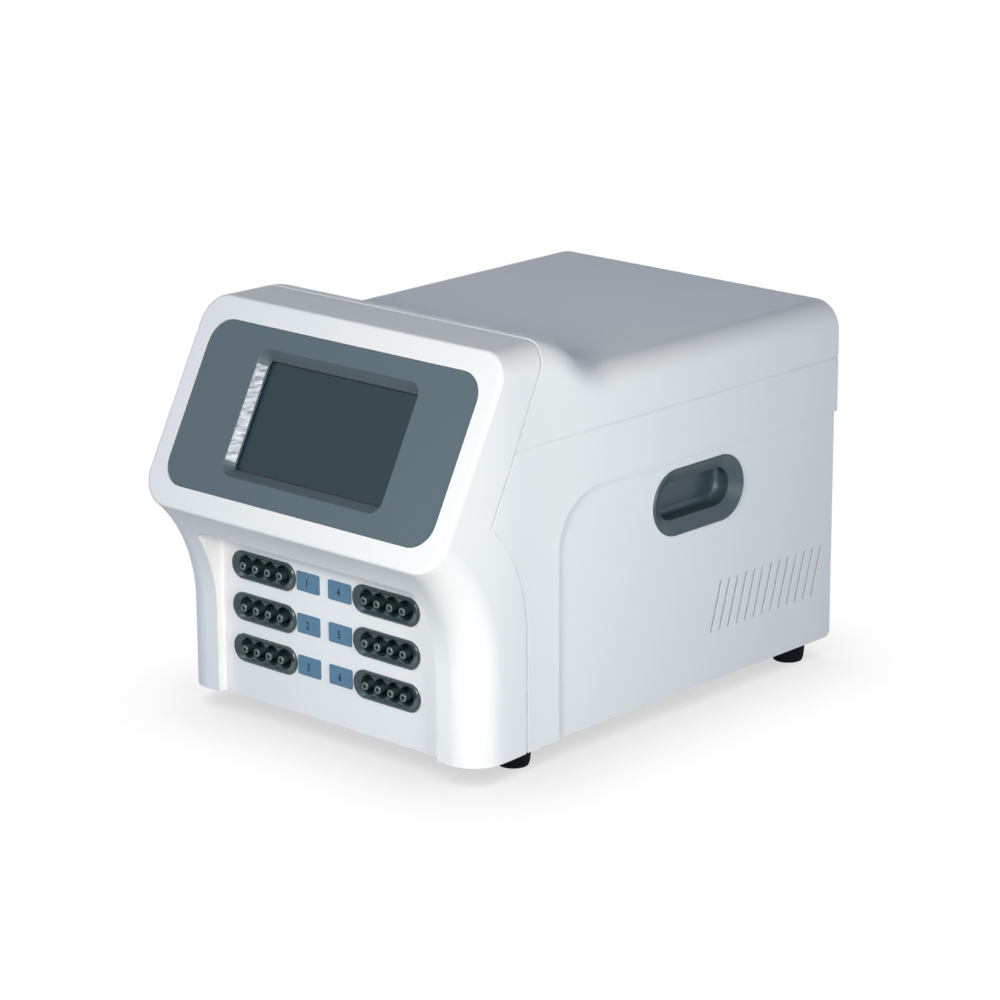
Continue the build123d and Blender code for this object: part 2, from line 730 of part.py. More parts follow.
def fan_screws():
    screws = []
    for u, v in fan_corners():
        head = extrude(fan_plane(-rear_wall) * Pos(u, v) * Circle(fan_screw_radius * 1.9), 1.6)
        shank = extrude(fan_plane(8.0) * Pos(u, v) * Circle(fan_screw_radius), 8.0 + rear_wall)
        screws.append(head + shank)
    return Compound(screws)


def inlet_plane(x, depth=0.0):
    return Plane(origin=(x, rear_panel_y - depth, base_z + inlet_height), x_dir=(-1, 0, 0), z_dir=(0, 1, 0))


def power_inlet():
    """Three-pin mains inlet with a bay for the fuse drawer below the socket."""
    flange = RectangleRounded(inlet_flange_width, inlet_flange_height, 3.0)
    body = extrude(inlet_plane(inlet_x) * flange, inlet_flange)
    body += extrude(inlet_plane(inlet_x) * Rectangle(inlet_body_width - slide_gap,
                                                     inlet_body_height - slide_gap), -inlet_depth)
    socket = Pos(0, socket_rise) * Rectangle(socket_width, socket_height)
    socket = chamfer(socket.vertices().group_by(Axis.Y)[-1], 4.0)
    body -= extrude(inlet_plane(inlet_x).offset(inlet_flange) * socket, -socket_depth)
    bay = Pos(0, -drawer_drop) * Rectangle(drawer_width + 2 * drawer_gap, drawer_height + 2 * drawer_gap)
    body -= extrude(inlet_plane(inlet_x).offset(inlet_flange) * bay, -drawer_depth - inlet_flange - 0.5)
    floor = inlet_plane(inlet_x).offset(inlet_flange - socket_depth)
    for u, v in ((-7.0, -2.0), (7.0, -2.0), (0.0, 2.0)):
        body += extrude(floor * Pos(u, socket_rise + v) * Rectangle(2.0, 4.0), socket_depth - 4.0)
    for u in (-1, 1):
        body -= extrude(inlet_plane(inlet_x) * Pos(u * 20.0, 0) * Circle(1.7), inlet_flange)
    return body


def fuse_drawer():
    drawer = Pos(0, -drawer_drop) * Rectangle(drawer_width, drawer_height)
    body = extrude(inlet_plane(inlet_x, drawer_depth) * drawer, drawer_depth + inlet_flange - 0.2)
    pockets = Sketch([Pos(u, -drawer_drop + 1.6) * Rectangle(6.0, 4.6) for u in (-5.5, 5.5)])
    body -= extrude(inlet_plane(inlet_x, drawer_depth) * pockets, drawer_depth - 3.0)
    nick = Pos(0, -drawer_drop - drawer_height / 2 + 0.8) * Rectangle(8.0, 1.6)
    return body - extrude(inlet_plane(inlet_x).offset(inlet_flange - 1.6) * nick, 2.0)


def switch_frame():
    flange = RectangleRounded(switch_flange_width, switch_flange_height, 2.0)
    body = extrude(inlet_plane(switch_x) * flange, switch_flange)
    body += extrude(inlet_plane(switch_x) * Rectangle(switch_body_width - slide_gap,
                                                      switch_body_height - slide_gap), -switch_depth)
    bay = Rectangle(rocker_width + slide_gap, rocker_height + 1.6)
    body -= extrude(inlet_plane(switch_x).offset(switch_flange) * bay, -rocker_depth - rocker_set_in)
    pin = rocker_axis() * Circle(rocker_pin_radius + shaft_play)
    return body - extrude(pin, switch_body_width / 2 - 0.6, both=True)


def rocker_axis():
    origin = (switch_x, rear_panel_y - rocker_set_in, base_z + inlet_height)
    return Plane(origin=origin, x_dir=(0, 1, 0), z_dir=(1, 0, 0))


def power_rocker():
    """Rocker with two shallow dished paddles, at rest with its lower end pressed in."""
    high, deep = rocker_height / 2, rocker_depth
    side_view = Polyline((0.4, high - 1.2), (4.6, high - 1.2), (3.0, 0), (4.6, -high + 1.2),
                         (0.4, -high + 1.2), (-deep + 4.0, -4.0), (-deep + 4.0, 4.0), close=True)
    body = extrude(rocker_axis() * make_face(side_view), rocker_width / 2 - 0.2, both=True)
    body += extrude(rocker_axis() * Circle(rocker_pin_radius), switch_body_width / 2 - 1.0, both=True)
    turn = Axis(rocker_axis().origin, (1, 0, 0))
    return body.rotate(turn, rocker_tilt)


# ---------------------------------------------------------- what works inside
def block(x, y, z, width, depth, height):
    """Box standing on height z over the case bottom, y measured from the rear edge."""
    return Pos(x, rear_y - y, base_z + z + height / 2) * Box(width, depth, height)


def power_supply():
    width, length, height = psu_size
    can = block(psu_x, psu_y, tray_wall, *psu_size)
    can = fillet(can.edges().filter_by(Axis.Y), 1.5)
    rows = [Pos(0, y) * SlotOverall(width * 0.7, 3.0) for y in range(-60, 61, 10)]
    lid = Plane(origin=(psu_x, rear_y - psu_y, base_z + tray_wall + height))
    can -= extrude(lid * Sketch(rows), -2.0)
    terminals = block(psu_x, psu_y + length / 2 + 5, tray_wall, width * 0.8, 10.0, 14.0)
    return can + terminals


def control_board():
    width, depth, wall = board_size
    board = block(board_x, board_y, board_z, *board_size)
    for u, v in board_corners():
        board -= Pos(board_x + u, rear_y - board_y + v, base_z + board_z) * Cylinder(screw_radius, 4 * wall)
    top = board_z + wall
    board += block(board_x - 20, board_y - 8, top, 28.0, 28.0, 2.4)
    board += block(board_x + 26, board_y + 14, top, 18.0, 18.0, 2.0)
    board += block(board_x + 26, board_y - 22, top, 30.0, 9.0, 9.0)
    board += block(board_x - 42, board_y + 34, top, 26.0, 8.0, 10.0)
    for n in range(4):
        at = Pos(board_x - 50 + 13 * n, rear_y - board_y + 34, base_z + top + 6)
        board += at * Cylinder(4.5, 12.0)
    return board


def board_corners():
    width, depth, _ = board_size
    return [(u * (width / 2 - 6), v * (depth / 2 - 6)) for u in (-1, 1) for v in (-1, 1)]


def board_standoffs():
    height = board_z - tray_wall
    posts = []
    for u, v in board_corners():
        at = Pos(board_x + u, rear_y - board_y + v, base_z + tray_wall + height / 2)
        post = at * Cylinder(standoff_radius, height)
        posts.append(post - at * Cylinder(screw_radius, height))
    return Compound(posts)


def board_screws():
    screws = []
    for u, v in board_corners():
        at = Pos(board_x + u, rear_y - board_y + v, base_z + board_z + board_size[2])
        head = at * Pos(0, 0, screw_head / 2) * Cylinder(screw_head_radius, screw_head)
        shank = at * Pos(0, 0, -4.0) * Cylinder(screw_radius, 8.0)
        screws.append(head + shank)
    return Compound(screws)


def cold_plate():
    """Fluid block under the thermoelectric modules, on four columns, with hose stubs in front."""
    plate = block(fan_x, core_y, plate_z, core_width, core_length, cold_plate_height)
    for u in (-1, 1):
        for v in (-1, 1):
            at = Pos(fan_x + u * (core_width / 2 - 8), rear_y - core_y + v * (core_length / 2 - 8),
                     base_z + (plate_z + tray_wall) / 2)
            plate += at * Cylinder(column_radius, plate_z - tray_wall)
    stubs = Plane(origin=(fan_x, rear_y - core_y - core_length / 2, base_z + plate_z + cold_plate_height / 2),
                  x_dir=(1, 0, 0), z_dir=(0, -1, 0))
    for u in (-1, 1):
        plate += extrude(stubs * Pos(u * core_width / 3, 0) * Circle(spigot_radius), 14.0)
        plate -= extrude(stubs * Pos(u * core_width / 3, 0) * Circle(nipple_bore), 14.0)
        plate -= extrude(stubs * Pos(u * core_width / 3, 0) * Circle(nipple_bore), -30.0)
    return plate


def thermoelectric_modules():
    top = plate_z + cold_plate_height
    return Compound([block(fan_x + u * 22.5, core_y + v * 25.0, top, 40.0, 40.0, module_height)
                     for u in (-1, 1) for v in (-1, 1)])


def heat_sink():
    foot = plate_z + cold_plate_height + module_height
    sink = block(fan_x, core_y, foot, core_width, core_length, sink_base)
    pitch = (core_width - fin_wall) / (fin_count - 1)
    for n in range(fin_count):
        x = fan_x - (core_width - fin_wall) / 2 + n * pitch
        sink += block(x, core_y, foot + sink_base, fin_wall, core_length, fin_height)
    return sink


def pump(x):
    """Sealed circulation pump lying on its cradle, motor behind, two stubs on the head."""
    centre_z = tray_wall + pump_radius + 4.0
    axis = Plane(origin=(x, rear_y - pump_y + pump_length / 2, base_z + centre_z), x_dir=(-1, 0, 0),
                 z_dir=(0, 1, 0))
    body = extrude(axis * Circle(pump_radius - 3), -pump_length)
    head = extrude(axis.offset(-pump_length) * Circle(pump_radius), 22.0)
    body += head
    body += block(x, pump_y, tray_wall, 30.0, pump_length - 10, 12.0)
    for u in (-1, 1):
        body += Pos(x + u * 10, rear_y - pump_y - pump_length / 2 + 11, base_z + centre_z + pump_radius + 3) \
            * Cylinder(spigot_radius, 16.0)
    return body


def manifold(x):
    """Valve manifold that the spigots of one column of ports push against."""
    front = rear_y - (panel_y + port_body_depth + spigot_length)
    return block(x, front - manifold_depth / 2, tray_wall, port_body_length, manifold_depth, manifold_height)


def valve_bank(x):
    """Twelve small solenoid valves on the back of one manifold."""
    front = rear_y - (panel_y + port_body_depth + spigot_length) - manifold_depth
    wide, deep, high = valve_size
    bank = []
    for row in range(port_rows):
        height = port_top_row - row * port_row_pitch - high / 2
        for n in range(wells):
            u = (n - (wells - 1) / 2) * well_pitch
            coil = block(x + u, front - deep / 2, height, wide, deep, high)
            bank.append(fillet(coil.edges().filter_by(Axis.Y), 1.5))
    return Compound(bank)


def foot(side, depth):
    """Moulded rubber foot, wider at the top, with a screw well below."""
    outline = make_face(Polyline((screw_radius, base_z), (foot_radius, base_z),
                                 (foot_radius - foot_taper / 2, foot_chamfer), (foot_radius - foot_taper, 0),
                                 (foot_well_radius, 0), (foot_well_radius, foot_well_depth),
                                 (screw_radius, foot_well_depth), close=True))
    ring = revolve(Plane.XZ * outline, Axis.Z)
    return Pos(side * (half - foot_inset), rear_y - depth) * ring


def foot_places():
    return {"foot_front_left": (-1, foot_front_depth), "foot_front_right": (1, foot_front_depth),
            "foot_rear_left": (-1, foot_rear_depth), "foot_rear_right": (1, foot_rear_depth)}


def foot_screws():
    """Pan-head screws up through the feet and the tray, in one node."""
    length = base_z + tray_wall - foot_well_depth
    screws = []
    for side, depth in foot_places().values():
        head = Pos(0, 0, foot_well_depth - screw_head / 2) * Cylinder(screw_head_radius, screw_head)
        shank = Pos(0, 0, foot_well_depth + length / 2) * Cylinder(screw_radius, length)
        screws.append(Pos(side * (half - foot_inset), rear_y - depth) * (head + shank))
    return Compound(screws)


# ------------------------------------------------------------------- the parts
def build():
    outer = case_body()
    inner = case_body(shell, reach)
    lip_core = case_body(shell + lip_wall, reach)
    covers = rear_shell(outer, inner)
    parts = {
        "front_bezel": front_bezel(outer, inner, lip_core),
        "roof_cover": roof_cover(covers),
        "display_plate": display_plate(),
        "screen_glass": screen_glass(),
        "screen_module": screen_module(),
        "screen_bracket": screen_bracket(),
        "bracket_screws": bracket_screws(),
        "screen_strip": screen_strip(),
        "base_tray": base_tray(),
        "rear_panel": rear_panel(),
        "fan_frame": fan_frame(),
        "fan_rotor": fan_rotor(),
        "fan_screws": fan_screws(),
        "power_inlet": power_inlet(),
        "fuse_drawer": fuse_drawer(),
        "switch_frame": switch_frame(),
        "power_rocker": power_rocker(),
        "power_supply": power_supply(),
        "control_board": control_board(),
        "board_standoffs": board_standoffs(),
        "board_screws": board_screws(),
        "cold_plate": cold_plate(),
        "thermoelectric_modules": thermoelectric_modules(),
        "heat_sink": heat_sink(),
        "pump_warm": pump(pump_x[0]),
        "pump_cold": pump(pump_x[1]),
        "foot_screws": foot_screws(),
    }
    for side, word in ((-1, "left"), (1, "right")):
        parts["side_frame_" + word] = side_frame(covers, outer, inner, lip_core, side)
        parts["side_panel_" + word] = side_panel(side)
        parts["handle_cup_" + word] = handle_cup(side)
        column = port_columns[(side + 1) // 2]
        parts["manifold_" + word] = manifold(column)
        parts["valve_bank_" + word] = valve_bank(column)
    for number, (x, height) in enumerate(port_places(), 1):
        parts[f"port_block_{number}"] = port_block(x, height)
        label_x = label_columns[(number - 1) // port_rows]
        parts[f"number_plate_{number}"] = number_plate(label_x, height)
    for name, (side, depth) in foot_places().items():
        parts[name] = foot(side, depth)
    return parts


os.makedirs("parts", exist_ok=True)
for name, shape in build().items():
    export_step(shape, f"parts/{name}.step")
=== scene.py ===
# %% [markdown]
# # A bench thermal cycler, dressed and lit
#
# The instrument is a white moulded case with a slanted touch screen under a
# raised front, six hose ports in a bay between two legs, a grip cup in each
# side and black feet.  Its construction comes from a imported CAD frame, in
# metres, standing on z = 0 with its front towards -Y.  This lesson adds what a
# solid model lacks: the finish of every surface, the numerals, the light and
# the camera.

# %% Load the frame
import math

import bpy
from mathutils import Matrix, Vector


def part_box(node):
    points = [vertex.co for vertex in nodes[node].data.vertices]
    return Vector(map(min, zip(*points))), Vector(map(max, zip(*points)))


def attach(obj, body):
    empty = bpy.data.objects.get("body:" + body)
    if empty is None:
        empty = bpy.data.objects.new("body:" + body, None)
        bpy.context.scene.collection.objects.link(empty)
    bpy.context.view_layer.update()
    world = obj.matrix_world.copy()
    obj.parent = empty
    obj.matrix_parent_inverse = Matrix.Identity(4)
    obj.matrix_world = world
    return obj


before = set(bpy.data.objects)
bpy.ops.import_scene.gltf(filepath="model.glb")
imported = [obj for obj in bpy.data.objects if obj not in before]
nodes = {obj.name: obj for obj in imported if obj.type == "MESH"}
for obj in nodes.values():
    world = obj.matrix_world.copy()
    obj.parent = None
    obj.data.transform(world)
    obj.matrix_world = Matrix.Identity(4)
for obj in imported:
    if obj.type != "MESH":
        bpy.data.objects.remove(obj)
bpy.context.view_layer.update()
mm = 0.001

# %% [markdown]
# ## Formulas instead of wires
#
# A finish is mostly a formula: a speckle times a strength, one minus a mask.
# Written as single Math nodes such a formula is long and hard to follow, so
# one small class wraps a shader socket and lets Python's own operators add
# the nodes.  A second class holds a material and adds any other kind of node.

# %% A socket that does arithmetic
# A colour mix node has its sockets by number, since their names repeat.
MIX_SHARE, MIX_FIRST, MIX_SECOND, MIX_RESULT = 0, 6, 7, 2


class Term:
    """A number that a shader works out at each point of a surface."""

    def __init__(self, finish, socket):
        self.finish = finish
        self.socket = socket

    def math(self, operation, first, second):
        return self.finish.add("ShaderNodeMath", {"operation": operation}, {0: first, 1: second})

    def __abs__(self):
        return self.finish.add("ShaderNodeMath", {"operation": "ABSOLUTE"}, {0: self})

    def __add__(self, other):
        return self.math("ADD", self, other)

    def __sub__(self, other):
        return self.math("SUBTRACT", self, other)

    def __rsub__(self, other):
        return self.math("SUBTRACT", other, self)

    def __mul__(self, other):
        return self.math("MULTIPLY", self, other)

    def __lt__(self, other):
        return self.math("LESS_THAN", self, other)

    __radd__ = __add__
    __rmul__ = __mul__


class Finish:
    """A material under construction, around one Principled shader."""

    def __init__(self, name, **constants):
        self.material = bpy.data.materials.new(name)
        self.material.use_nodes = True
        self.tree = self.material.node_tree
        self.surface = self.tree.nodes["Principled BSDF"]
        self.paint(**constants)

    def put(self, socket, value):
        """Sets a socket to a number or colour, or links it to a term."""
        if isinstance(value, Term):
            self.tree.links.new(value.socket, socket)
        elif isinstance(value, tuple) and socket.type == "RGBA":
            socket.default_value = (*value, 1.0)
        else:
            socket.default_value = value

    def add(self, kind, settings, sockets, output=0):
        """Adds a node: its settings first, then the values or links of its sockets."""
        node = self.tree.nodes.new(kind)
        for name, value in settings.items():
            if name == "stops":
                for n, (place, shade) in enumerate(value):
                    stops = node.color_ramp.elements
                    stop = stops[n] if n < len(stops) else stops.new(place)
                    stop.position = place
                    stop.color = (shade, shade, shade, 1.0)
            else:
                setattr(node, name, value)
        for name, value in sockets.items():
            self.put(node.inputs[name], value)
        return Term(self, node.outputs[output])

    def place(self):
        """The point on the surface, in the frame's metres."""
        return self.add("ShaderNodeTexCoord", {}, {}, "Object")

    def axis(self, name):
        """One coordinate of the point on the surface."""
        return self.add("ShaderNodeSeparateXYZ", {}, {0: self.place()}, name)

    def speckle(self, size, detail=3.0, stretch=(1.0, 1.0, 1.0)):
        """Soft random shade whose grains are about this many metres across."""
        spread = self.add("ShaderNodeMapping", {}, {"Vector": self.place(), "Scale": stretch})
        sockets = {"Vector": spread, "Scale": 1 / size, "Detail": detail}
        return self.add("ShaderNodeTexNoise", {}, sockets)

    def steps(self, value, *stops):
        """Maps a value through the stops of a ramp."""
        return self.add("ShaderNodeValToRGB", {"stops": stops}, {"Fac": value})

    def mix(self, share, first, second):
        """Colour between two others."""
        node = self.tree.nodes.new("ShaderNodeMix")
        node.data_type = "RGBA"
        for number, value in ((MIX_SHARE, share), (MIX_FIRST, first), (MIX_SECOND, second)):
            self.put(node.inputs[number], value)
        return Term(self, node.outputs[MIX_RESULT])

    def relief(self, height, depth):
        """Bumps of this depth in metres where the height goes from 0 to 1."""
        sockets = {"Height": height, "Distance": depth, "Strength": 1.0}
        bump = self.add("ShaderNodeBump", {}, sockets)
        self.put(self.surface.inputs["Normal"], bump)

    def paint(self, **sockets):
        """Sends numbers, colours or terms into the shader's sockets."""
        for socket, value in sockets.items():
            self.put(self.surface.inputs[socket.replace("_", " ")], value)


def dress(finish, *names):
    """Gives a finish to CAD nodes."""
    for name in names:
        slots = nodes[name].data.materials
        slots.clear()
        slots.append(finish.material)


# %% [markdown]
# ## Moulded plastic
#
# The covers are injection moulded in off-white ABS and left with the fine
# spark-eroded grain of the mould.  From a step away the grain is only felt as
# a soft sheen, so it goes into the roughness and a very shallow bump, while
# the colour drifts by a few percent, as real mouldings do.

# %% The finish of the white case
def moulded(name, colour, shade, grain, roughness, depth, drift=0.12, **constants):
    """Grained moulded plastic that drifts a little between two shades."""
    finish = Finish(name, **constants)
    fine = finish.speckle(grain, 4.0)
    cloud = finish.speckle(drift, 2.0)
    uneven = (fine - 0.5) * 0.12
    finish.paint(Base_Color=finish.mix(cloud, colour, shade), Roughness=roughness + uneven)
    finish.relief(fine, depth)
    return finish


case_white = moulded("case_white", (0.90, 0.905, 0.90), (0.875, 0.885, 0.885),
                     0.9 * mm, 0.42, 0.012 * mm, Specular_IOR_Level=0.2)
covers = ["front_bezel", "roof_cover"]
covers += [f"{part}_{side}" for part in ("side_frame", "side_panel") for side in ("left", "right")]
dress(case_white, *covers)
print("white covers:", len(covers))

# %% [markdown]
# ## The dark plate, the glass and the foil
#
# The plate round the screen is slate grey with a fine matt grain.  The glass
# lies at the bottom of a bevelled recess; it is nearly black and smooth, so it
# lives from what it reflects.  A black band is painted round the edge of the
# glass as painted shade, standing in for the shadow line where the bevel meets
# it: a mask gives it, measured from the glass's middle across and up the
# leaning face.  The foil on the left bevel is crinkled, which a bump from a
# coarse stretched noise and a fine one gives; its colour swings from dark to
# bright with the same noises, painted highlights on the creases.

# %% Finishes of the screen unit
slate = moulded("slate_plate", (0.076, 0.111, 0.132), (0.069, 0.102, 0.123),
                0.6 * mm, 0.5, 0.01 * mm)
dress(slate, "display_plate")

face_lean = math.radians(28)
lean_sin, lean_cos = math.sin(face_lean), math.cos(face_lean)
glass_wall, glass_lap, shadow_line_width = 2.0 * mm, 3.0 * mm, 1.1 * mm
glass_low, glass_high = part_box("screen_glass")
glass_middle = (glass_low + glass_high) / 2
glass_length = (glass_high.z - glass_low.z - glass_wall * lean_sin) / lean_cos
clear_across = (glass_high.x - glass_low.x) / 2 - glass_lap - shadow_line_width
clear_up = glass_length / 2 - glass_lap - shadow_line_width
glass = Finish("touch_glass", Specular_IOR_Level=0.36)
across = abs(glass.axis("X") - glass_middle.x)
slope = glass.axis("Y") * lean_sin + glass.axis("Z") * lean_cos
slope_middle = glass_middle.y * lean_sin + glass_middle.z * lean_cos
along_slope = abs(slope - slope_middle)
# Painted shade: a near-black band round the glass's clear middle stands in for the shadow line where
# the bevel meets the glass.
shadow_line_mask = 1.0 - (across < clear_across) * (along_slope < clear_up)
clear_colour, shadow_line_colour = (0.005, 0.032, 0.042), (0.001, 0.002, 0.003)
glass.paint(Base_Color=glass.mix(shadow_line_mask, clear_colour, shadow_line_colour),
            Roughness=0.07 + glass.speckle(30 * mm) * 0.05)
dress(glass, "screen_glass")
print("clear glass, half sizes:", round(clear_across / mm, 1), round(clear_up / mm, 1))

foil = Finish("crinkled_foil", Metallic=0.85)
creases = foil.speckle(5.0 * mm, 5.0, (0.5, 0.5, 2.2))
grain = foil.speckle(0.9 * mm, 2.0)
# Painted highlights: the base colour swings from dark to bright with the crease noise, as light
# catching crinkled foil would.
crease_highlight_paint = foil.steps(creases * 0.6 + grain * 0.4, (0.36, 0.05), (0.66, 1.0))
foil.paint(Base_Color=foil.mix(crease_highlight_paint, (0.07, 0.09, 0.10), (0.46, 0.49, 0.53)),
           Roughness=0.35 + grain * 0.3)
foil.relief(creases * 0.7 + grain * 0.3, 0.25 * mm)
dress(foil, "screen_strip")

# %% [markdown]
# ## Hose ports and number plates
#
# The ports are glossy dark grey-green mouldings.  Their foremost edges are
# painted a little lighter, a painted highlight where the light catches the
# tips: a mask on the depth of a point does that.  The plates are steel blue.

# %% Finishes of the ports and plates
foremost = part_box("port_block_1")[0].y
highlight_depth = 0.6 * mm
port = Finish("port_gloss", Coat_Weight=0.15, Coat_Roughness=0.10, Specular_IOR_Level=0.4)
# Painted highlight: the foremost 0.6 mm of each port gets a lighter colour, where the front light
# catches the tips.
painted_tip_highlight = port.axis("Y") < foremost + highlight_depth
body_colour = port.mix(port.speckle(2.5 * mm), (0.022, 0.044, 0.050), (0.040, 0.068, 0.075))
port.paint(Base_Color=port.mix(painted_tip_highlight, body_colour, (0.11, 0.15, 0.16)),
           Roughness=0.22 + port.speckle(1.0 * mm) * 0.1)
dress(port, *[f"port_block_{n}" for n in range(1, 7)])

plate_blue = moulded("plate_blue", (0.085, 0.205, 0.325), (0.075, 0.185, 0.300),
                     0.7 * mm, 0.42, 0.01 * mm)
dress(plate_blue, *[f"number_plate_{n}" for n in range(1, 7)])

# %% [markdown]
# ## Grip cups, feet and the rear
#
# The cups are satin dark blue-grey, the feet matt black rubber.  The rear
# sheet has the fine orange peel of powder coat.

# %% Finishes of the dark trim
grip = moulded("grip_cup", (0.045, 0.078, 0.092), (0.038, 0.066, 0.080),
               0.8 * mm, 0.36, 0.012 * mm)
dress(grip, "handle_cup_left", "handle_cup_right")

rubber = moulded("foot_rubber", (0.004, 0.005, 0.007), (0.008, 0.009, 0.011),
                 1.2 * mm, 0.8, 0.03 * mm, drift=6 * mm, Specular_IOR_Level=0.08)
dress(rubber, *[f"foot_{end}_{side}" for end in ("front", "rear") for side in ("left", "right")])

powder = moulded("powder_coat", (0.62, 0.65, 0.66), (0.60, 0.63, 0.64),
                 1.4 * mm, 0.5, 0.03 * mm)
dress(powder, "rear_panel")

black = moulded("black_moulding", (0.022, 0.023, 0.024), (0.028, 0.029, 0.030),
                0.8 * mm, 0.45, 0.01 * mm)
dress(black, "fan_frame", "fan_rotor", "power_inlet", "fuse_drawer", "switch_frame")
gloss_black = moulded("rocker_gloss", (0.020, 0.020, 0.021), (0.022, 0.022, 0.023),
                      1.5 * mm, 0.18, 0.003 * mm)
dress(gloss_black, "power_rocker")

# %% [markdown]
# ## What works inside
#
# Little of the inside shows, through the vents, the grille and from below,
# but it still gets the finish of the real thing: rolled zinc-plated sheet,
# milled and extruded aluminium, solder mask, moulded pump bodies.

# %% Finishes of the inner pieces
def drawn_metal(name, bright, dull, along, roughness):
    """Metal with fine lines along one axis from rolling, extruding or turning."""
    finish = Finish(name, Metallic=1.0)
    lines = finish.speckle(2 * mm, 4.0, along)
    finish.paint(Base_Color=finish.mix(lines, dull, bright),
                 Roughness=roughness + lines * 0.15)
    finish.relief(lines, 0.01 * mm)
    return finish


sheet_steel = drawn_metal("zinc_sheet", (0.66, 0.67, 0.68), (0.55, 0.56, 0.58),
                          (8.0, 0.4, 8.0), 0.3)
dress(sheet_steel, "base_tray", "screen_bracket", "power_supply")
extruded = drawn_metal("extruded_aluminium", (0.80, 0.81, 0.82), (0.70, 0.71, 0.72),
                       (8.0, 0.3, 8.0), 0.28)
dress(extruded, "cold_plate", "heat_sink")
screw_steel = drawn_metal("screw_steel", (0.68, 0.68, 0.69), (0.52, 0.52, 0.54),
                          (6.0, 6.0, 1.0), 0.25)
dress(screw_steel, "bracket_screws", "board_screws", "fan_screws", "foot_screws")
turned_brass = drawn_metal("turned_brass", (0.83, 0.66, 0.34), (0.72, 0.56, 0.28),
                           (1.0, 1.0, 9.0), 0.25)
dress(turned_brass, "board_standoffs")

solder_mask = moulded("solder_mask", (0.010, 0.115, 0.055), (0.014, 0.090, 0.045),
                      1.5 * mm, 0.3, 0.02 * mm, drift=8 * mm)
dress(solder_mask, "control_board")
ceramic = moulded("module_ceramic", (0.80, 0.80, 0.77), (0.74, 0.74, 0.71),
                  0.6 * mm, 0.6, 0.01 * mm)
dress(ceramic, "thermoelectric_modules")
acetal = moulded("milled_acetal", (0.70, 0.70, 0.67), (0.66, 0.66, 0.63),
                 0.5 * mm, 0.4, 0.01 * mm)
dress(acetal, "manifold_left", "manifold_right")
dress(black, "pump_warm", "pump_cold", "valve_bank_left", "valve_bank_right", "screen_module")
bare = [name for name, piece in nodes.items() if piece.active_material is None]
print("nodes left bare:", bare)

# %% [markdown]
# ## Numerals
#
# Each plate carries a plain bold numeral, a hair proud of it as thick screen
# print is.  A text object gives the outlines; it is squeezed sideways, set
# bolder with an offset, made about a tenth of a millimetre thick and turned
# to face the front.  It sits a little to the left of the plate's middle and
# below it.

# %% Print a numeral on each plate
mark_height, mark_thick = 6.2 * mm, 0.12 * mm
mark_squeeze, mark_bold = 0.74, 0.035
mark_shift = Vector((-0.9 * mm, -0.04 * mm, -0.4 * mm))
ink = Finish("black_ink", Base_Color=(0.006, 0.008, 0.011))
ink.paint(Roughness=0.4 + ink.speckle(1.2 * mm) * 0.15)


def printed_mark(text, name, middle, body):
    """A numeral that faces the front, centred on middle and carried by a body."""
    curve = bpy.data.curves.new(name, "FONT")
    curve.body = text
    curve.align_x = "CENTER"
    curve.align_y = "CENTER"
    curve.offset = mark_bold
    curve.resolution_u = 6
    curve.extrude = 0.5
    outline = bpy.data.objects.new(name, curve)
    bpy.context.scene.collection.objects.link(outline)
    bpy.context.view_layer.update()
    mesh = bpy.data.meshes.new_from_object(outline)
    bpy.data.objects.remove(outline)
    low = Vector([min(v.co[k] for v in mesh.vertices) for k in range(3)])
    high = Vector([max(v.co[k] for v in mesh.vertices) for k in range(3)])
    size = mark_height / (high.y - low.y)
    mesh.transform(Matrix.Translation(-(low + high) / 2))
    mesh.transform(Matrix.Diagonal((size * mark_squeeze, size, mark_thick, 1.0)))
    mesh.transform(Matrix.Rotation(math.radians(90), 4, "X"))
    mesh.transform(Matrix.Translation(middle))
    mesh.materials.clear()
    mesh.materials.append(ink.material)
    mark = bpy.data.objects.new(name, mesh)
    bpy.context.scene.collection.objects.link(mark)
    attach(mark, body)
    return mark


for n in range(1, 7):
    low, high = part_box(f"number_plate_{n}")
    middle = Vector(((low.x + high.x) / 2, low.y, (low.z + high.z) / 2)) + mark_shift
    mark = printed_mark(str(n), f"numeral_{n}", middle, "case")
print("numerals printed")

# %% [markdown]
# ## Floor, light and background
#
# The instrument stands on a floor that looks white: what the camera, a mirror
# or a pane sees of it is a plain white glow, dimmed only close to the case,
# where a real floor would get less light.  The light that the floor throws
# back at the case is a darker blue-grey, so the undersides stay cool.  The sky
# works the same way: seen it is white, but it lights the case as a dim blue
# band along the horizon, which is what tints the roof.

# %% The floor
floor_mesh = bpy.data.meshes.new("floor")
reach = 40.0
corners = [(-reach, -reach, 0), (reach, -reach, 0), (reach, reach, 0), (-reach, reach, 0)]
floor_mesh.from_pydata(corners, [], [(0, 1, 2, 3)])
floor = bpy.data.objects.new("floor", floor_mesh)
bpy.context.scene.collection.objects.link(floor)
ground = Finish("floor_white", Base_Color=(0.22, 0.27, 0.30), Roughness=0.9)
shadow_reach, shadow_depth = 90 * mm, 0.4
openness = ground.add("ShaderNodeAmbientOcclusion", {"samples": 8}, {"Distance": shadow_reach}, "AO")
brightness = 1.0 - (1.0 - openness) * shadow_depth
glow = ground.add("ShaderNodeEmission", {}, {"Color": (1.0, 1.0, 1.0), "Strength": brightness})
shown_rays = ("Is Camera Ray", "Is Glossy Ray", "Is Transmission Ray")
seen, mirrored, through = [ground.add("ShaderNodeLightPath", {}, {}, kind) for kind in shown_rays]
blend = ground.tree.nodes.new("ShaderNodeMixShader")
ground.put(blend.inputs[0], seen + mirrored + through)
ground.tree.links.new(ground.surface.outputs[0], blend.inputs[1])
ground.tree.links.new(glow.socket, blend.inputs[2])
ground.tree.links.new(blend.outputs[0], ground.tree.nodes["Material Output"].inputs["Surface"])
floor_mesh.materials.append(ground.material)

